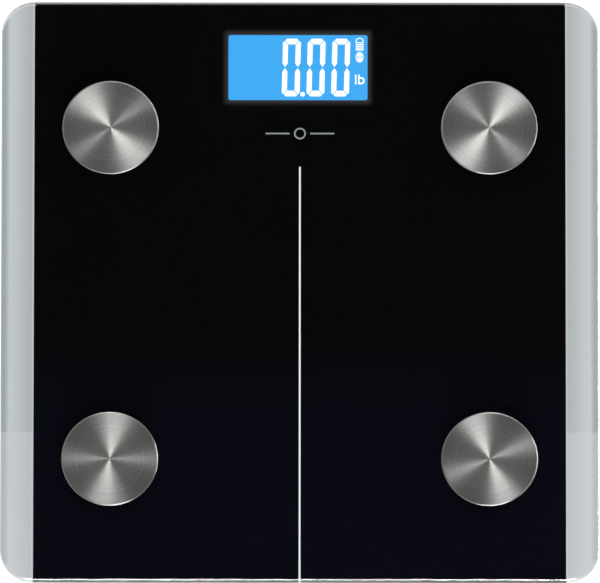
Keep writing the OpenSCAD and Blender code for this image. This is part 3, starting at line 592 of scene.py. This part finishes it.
def ring_faces(m, n):
    """The faces between m rings of n points, and one face over each end ring. Face (i, j) joins
    points j and j + 1 of ring i to the same two points of ring i + 1."""
    i, j = np.meshgrid(np.arange(m - 1), np.arange(n), indexing="ij")
    k = (j + 1) % n
    sides = np.stack([i * n + j, i * n + k, (i + 1) * n + k, (i + 1) * n + j], -1).reshape(-1, 4)
    ends = [list(range(n))[::-1], list(range((m - 1) * n, m * n))]
    return sides.tolist() + ends


# The rings follow the sheet's outline, four quarter circles joined by straight sides, each at the
# inset and the height of one point of the edge's profile.
corner_radius = 16.5 * MM
arris = 0.5 * MM
flat = 4 * MM
film_gap = 0.05 * MM
sheet_low, sheet_high = glass_low.z + film_gap, glass_high.z
edge = np.array([
    [flat, sheet_high], [arris, sheet_high], [0, sheet_high - arris],
    [0, sheet_low + arris], [arris, sheet_low], [flat, sheet_low],
])
angles = np.radians(np.linspace(0, 90, 33))
quarter = np.stack([np.cos(angles), np.sin(angles)], -1)
round_ways = np.stack([quarter, quarter[:, ::-1] * [-1, 1], -quarter, quarter[:, ::-1] * [1, -1]])
signs_of_corners = np.array([[1, 1], [-1, 1], [-1, -1], [1, -1]])[:, None]
inset, height = edge[:, 0], edge[:, 1]
middles = signs_of_corners * (glass_high.x - corner_radius)
outline = middles + round_ways * (corner_radius - inset)[:, None, None, None]
outline = outline.reshape(len(edge), -1, 2)
rings = np.concatenate([outline, np.broadcast_to(height[:, None, None], (*outline.shape[:2], 1))], -1)


def see_through(finish, shader):
    """Lets lamps and scattered light through a clear shader, so that what it covers is lit."""
    ray = finish.node("ShaderNodeLightPath").output
    passing = ray("Is Shadow Ray") + ray("Is Diffuse Ray") + ray("Is Glossy Ray")
    clear = finish.node("ShaderNodeBsdfTransparent", {}, {"Color": (0.98, 0.99, 0.985)})
    both = finish.node("ShaderNodeMixShader", {}, [passing, shader, clear])
    finish.node("ShaderNodeOutputMaterial", {}, {"Surface": both})


polished = Finish("float_glass")
smear = polished.noise(45 * MM, 3)
see_through(polished, polished.shader(
    Base_Color=polished.mix(smear, (0.985, 0.995, 0.99), (0.975, 0.99, 0.985)),
    Roughness=0.0,
    IOR=1.52,
    Transmission_Weight=1.0,
))

ground = Finish("ground_glass_edge")
scratch = ground.noise(0.5 * MM, 4, (1, 1, 3))
see_through(ground, ground.shader(
    Base_Color=ground.mix(scratch, (0.93, 0.96, 0.95), (0.98, 0.99, 0.985)),
    Roughness=0.07 + 0.06 * scratch,
    IOR=1.52,
    Transmission_Weight=1.0,
))

# The black print runs over the lower arris, which is bare beside it.
inked = Finish("inked_glass_edge")
past_black = inked.x.size().above(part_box("black_print")[1].x, 0.2 * MM)
inked.surface(
    Base_Color=inked.mix(past_black, (0.003, 0.003, 0.003), (0.80, 0.84, 0.83)),
    Roughness=0.5 + 0.1 * inked.noise(0.5 * MM, 4),
    Specular_IOR_Level=0.1,
    Alpha=1 - 0.5 * past_black,
)

# The films are bonded on, so the underside neither bends light nor mirrors it.
bonded = Finish("bonded_glass_face")
bonded.surface(
    Base_Color=bonded.mix(bonded.noise(45 * MM, 3), (0.985, 0.995, 0.99), (0.975, 0.99, 0.985)),
    Roughness=0.1,
    Alpha=0.0,
)

glass = solid(
    "glass_plate", rings, ring_faces(len(edge), outline.shape[1]),
    [polished, ground, inked, bonded], "scale_base", "clear_glass",
)
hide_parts("glass_platform")
face_finishes = np.r_[np.repeat([0, 1, 0, 2, 3], outline.shape[1]), 0, 3]
glass.data.polygons.foreach_set("material_index", face_finishes.astype(np.int32))
glass.data.set_sharp_from_angle(angle=math.radians(20))


# ---- Electrodes -------------------------------------------------------------------------------
# Four discs of lathe-turned stainless steel, stuck to the glass with acrylic adhesive. A stud on
# each goes through the glass to a fibre washer, a ring terminal and two nuts.

def rounded(points, radius, steps=4):
    """A line through the points with each inner corner rounded: the arc that touches both sides,
    put in as a quadratic curve from one touching point to the other."""
    points = np.asarray(points, float)
    t = np.linspace(0, 1, steps)[:, None]
    path = [points[:1]]
    for before, corner, after in zip(points, points[1:], points[2:]):
        a = corner + (before - corner) / np.linalg.norm(before - corner) * radius
        b = corner + (after - corner) / np.linalg.norm(after - corner) * radius
        path.append((1 - t) ** 2 * a + 2 * t * (1 - t) * corner + t ** 2 * b)
    return np.vstack([*path, points[-1:]])


ring_pitch = 0.75 * MM
disc_thick = 0.8 * MM
stud_radius = 1.5 * MM
rim_wide, rim_drop = 0.6 * MM, 0.3 * MM
pole = 0.02 * MM
sheen_turns = {"front_left": 95.0, "front_right": 74.0, "rear_left": 47.0, "rear_right": 133.0}
for place, sheen_turn in sheen_turns.items():
    low_corner, high_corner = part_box("electrode_" + place)
    middle = (low_corner + high_corner) / 2
    top = high_corner.z
    radius = (high_corner.x - low_corner.x) / 2
    disc_low = top - disc_thick
    stud_low = low_corner.z
    steel = Finish("turned_steel_" + place)
    from_middle = steel.node(
        "ShaderNodeVectorMath", {"operation": "DISTANCE"}, [steel.place, (middle.x, middle.y, top)]
    )
    uneven = steel.node(
        "ShaderNodeTexNoise", {"noise_dimensions": "1D"},
        {"W": from_middle, "Scale": 1 / (1.1 * MM), "Detail": 3.0},
    )
    wave = (from_middle * (2 * math.pi / ring_pitch) + 4 * uneven).sum("SINE")
    groove = wave * 0.35 + 0.2 + 0.6 * uneven
    # Painted highlight: both ring tones are lighter towards the disc's middle.
    painted_middle_highlight = (from_middle / radius).above(0.45, 0.9)
    bright = steel.mix(painted_middle_highlight, (0.80, 0.78, 0.755), (0.47, 0.465, 0.455))
    dull = steel.mix(painted_middle_highlight, (0.50, 0.485, 0.47), (0.34, 0.33, 0.325))
    steel.surface(
        Base_Color=steel.mix(groove.above(0.5, 1.0), dull, bright),
        Metallic=1.0,
        Roughness=0.28 + 0.1 * uneven,
        Anisotropic=0.94,
        Anisotropic_Rotation=sheen_turn / 360,
        Normal=steel.bump(groove, 0.01 * MM),
    )
    profile = rounded(
        [(pole, top), (radius - rim_wide, top), (radius, top - rim_drop), (radius, disc_low),
         (stud_radius, disc_low), (stud_radius, stud_low), (pole, stud_low)],
        0.12 * MM,
    )
    face = np.linspace(pole, radius - rim_wide - 0.15 * MM, 60)
    profile = np.vstack([np.c_[face, np.full(len(face), top)], profile[1:]])

    # The profile is turned about the disc's middle: radius r goes to (r cos t, r sin t) there.
    around = np.radians(np.arange(0, 360, 2.5))
    grid = np.stack([
        middle.x + np.outer(profile[:, 0], np.cos(around)),
        middle.y + np.outer(profile[:, 0], np.sin(around)),
        np.broadcast_to(profile[:, 1:], (len(profile), len(around))),
    ], -1)
    disc = solid(
        "electrode_disc_" + place, grid, ring_faces(len(profile), len(around)),
        steel, "scale_base", "stainless",
    )
    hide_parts("electrode_" + place)

dress(moulded("acrylic_adhesive", (0.45, 0.44, 0.42), 0.4, 1 * MM), "electrode_adhesive")
dress(moulded("red_fibre", (0.42, 0.13, 0.09), 0.6, 0.3 * MM, 0.06 * MM), "stud_washers")
dress(metal("plated_brass", (0.72, 0.66, 0.5), 0.25), "ring_terminals")
dress(metal("plated_nuts", (0.62, 0.62, 0.6), 0.28), "stud_nuts")


# ---- Foam tape and leads ----------------------------------------------------------------------
# Closed-cell foam tape between the tray's rim and the films, and the PVC-covered leads inside,
# red from the load cells and batteries and black from the electrodes.

dress(moulded("closed_cell_foam", (0.72, 0.72, 0.69), 0.8, 0.5 * MM, 0.15 * MM), "foam_tape")
red_pvc = moulded("red_pvc", (0.42, 0.03, 0.02), 0.35, 0.9 * MM)
dress(red_pvc, "battery_leads", *["cell_lead_" + f for f in feet])
dress(moulded("black_pvc", (0.02, 0.02, 0.02), 0.35, 0.9 * MM), *["electrode_lead_" + f for f in feet])


# ---- Floor, light and camera ------------------------------------------------------------------
# A plain white studio: a white floor, an even surround that is dark straight above, where the
# glass would mirror it, three soft boxes, and two strips that light the ground edges.

sweep = Finish("white_sweep")
speck = sweep.noise(3.0, 2)
straight = sweep.node("ShaderNodeLightPath").output("Is Camera Ray")
sweep.surface(
    Base_Color=sweep.mix(speck, (0.50, 0.50, 0.50), (0.52, 0.52, 0.52)),
    Roughness=0.9,
    Specular_IOR_Level=0.0,
    Emission_Color=sweep.mix(straight, (0.15, 0.15, 0.15), (0.85, 0.85, 0.85)),
    Emission_Strength=1.0,
)
floor_half = 60.0
floor_z = -0.0002
floor_corners = [
    (i * floor_half, j * floor_half, floor_z) for i, j in ((-1, -1), (1, -1), (1, 1), (-1, 1))
]
floor_mesh = bpy.data.meshes.new("floor")
floor_mesh.from_pydata(floor_corners, [], [(0, 1, 2, 3)])
floor_mesh.materials.append(sweep.material)
floor = bpy.data.objects.new("floor", floor_mesh)
bpy.context.scene.collection.objects.link(floor)

surround = bpy.data.worlds.new("studio")
surround.use_nodes = True
bpy.context.scene.world = surround
room = Web(surround.node_tree)
outward = room.node("ShaderNodeTexCoord").output("Generated")
rise = room.node("ShaderNodeSeparateXYZ", {}, [outward]).output("Z")
wall = 0.45 - 0.44 * rise.above(0.89, 0.08)
seen = room.node("ShaderNodeLightPath").output("Is Camera Ray")
tone = room.node(
    "ShaderNodeBackground", {}, {"Color": (1.0, 1.0, 1.0), "Strength": seen + (1 - seen) * wall}
)
room.node("ShaderNodeOutputWorld", {}, {"Surface": tone})

lamp_away = 2.5


def lamp(name, toward, wide, deep, radiance):
    """A soft box in a direction, facing the scale. Its power is radiance times pi times its area."""
    light = bpy.data.lights.new(name, "AREA")
    light.shape = "RECTANGLE"
    light.size = wide
    light.size_y = deep
    light.energy = radiance * math.pi * wide * deep
    box = bpy.data.objects.new(name, light)
    bpy.context.scene.collection.objects.link(box)
    back = np.array(toward, float) / np.linalg.norm(toward)
    box.location = back * lamp_away
    box.rotation_mode = "QUATERNION"
    box.rotation_quaternion = Vector(back).to_track_quat("Z", "Y")
    box.visible_camera = False


lamp("rear_soft_box", (0.0, 0.66, 0.75), 0.6, 0.7, 9.0)
lamp("front_soft_box", (0.2, -0.85, 0.6), 1.4, 0.8, 7.5)
lamp("side_soft_box", (0.45, 0.255, 0.855), 0.25, 0.3, 15.0)
lamp("front_strip", (0.0, -0.967, 0.255), 2.0, 0.12, 46.0)
lamp("right_strip", (0.967, 0.255, 0.04), 1.6, 0.12, 65.0)

eye = bpy.data.cameras.new("camera")
eye.lens = 1500.0
eye.sensor_width = 36.0
eye.clip_start = 0.5
eye.clip_end = 80.0
camera = bpy.data.objects.new("camera", eye)
bpy.context.scene.collection.objects.link(camera)
elevation = math.radians(75.2)
azimuth = math.radians(0.05)
away = 12.55
aim = np.array([0.1 * MM, -0.6 * MM, sheet_high])
sideways = math.cos(elevation) * np.array([math.sin(azimuth), -math.cos(azimuth)])
camera.location = aim + away * np.array([*sideways, math.sin(elevation)])
camera.rotation_euler = (math.pi / 2 - elevation, 0, azimuth)
bpy.context.scene.camera = camera
bpy.context.scene.view_settings.view_transform = "Standard"
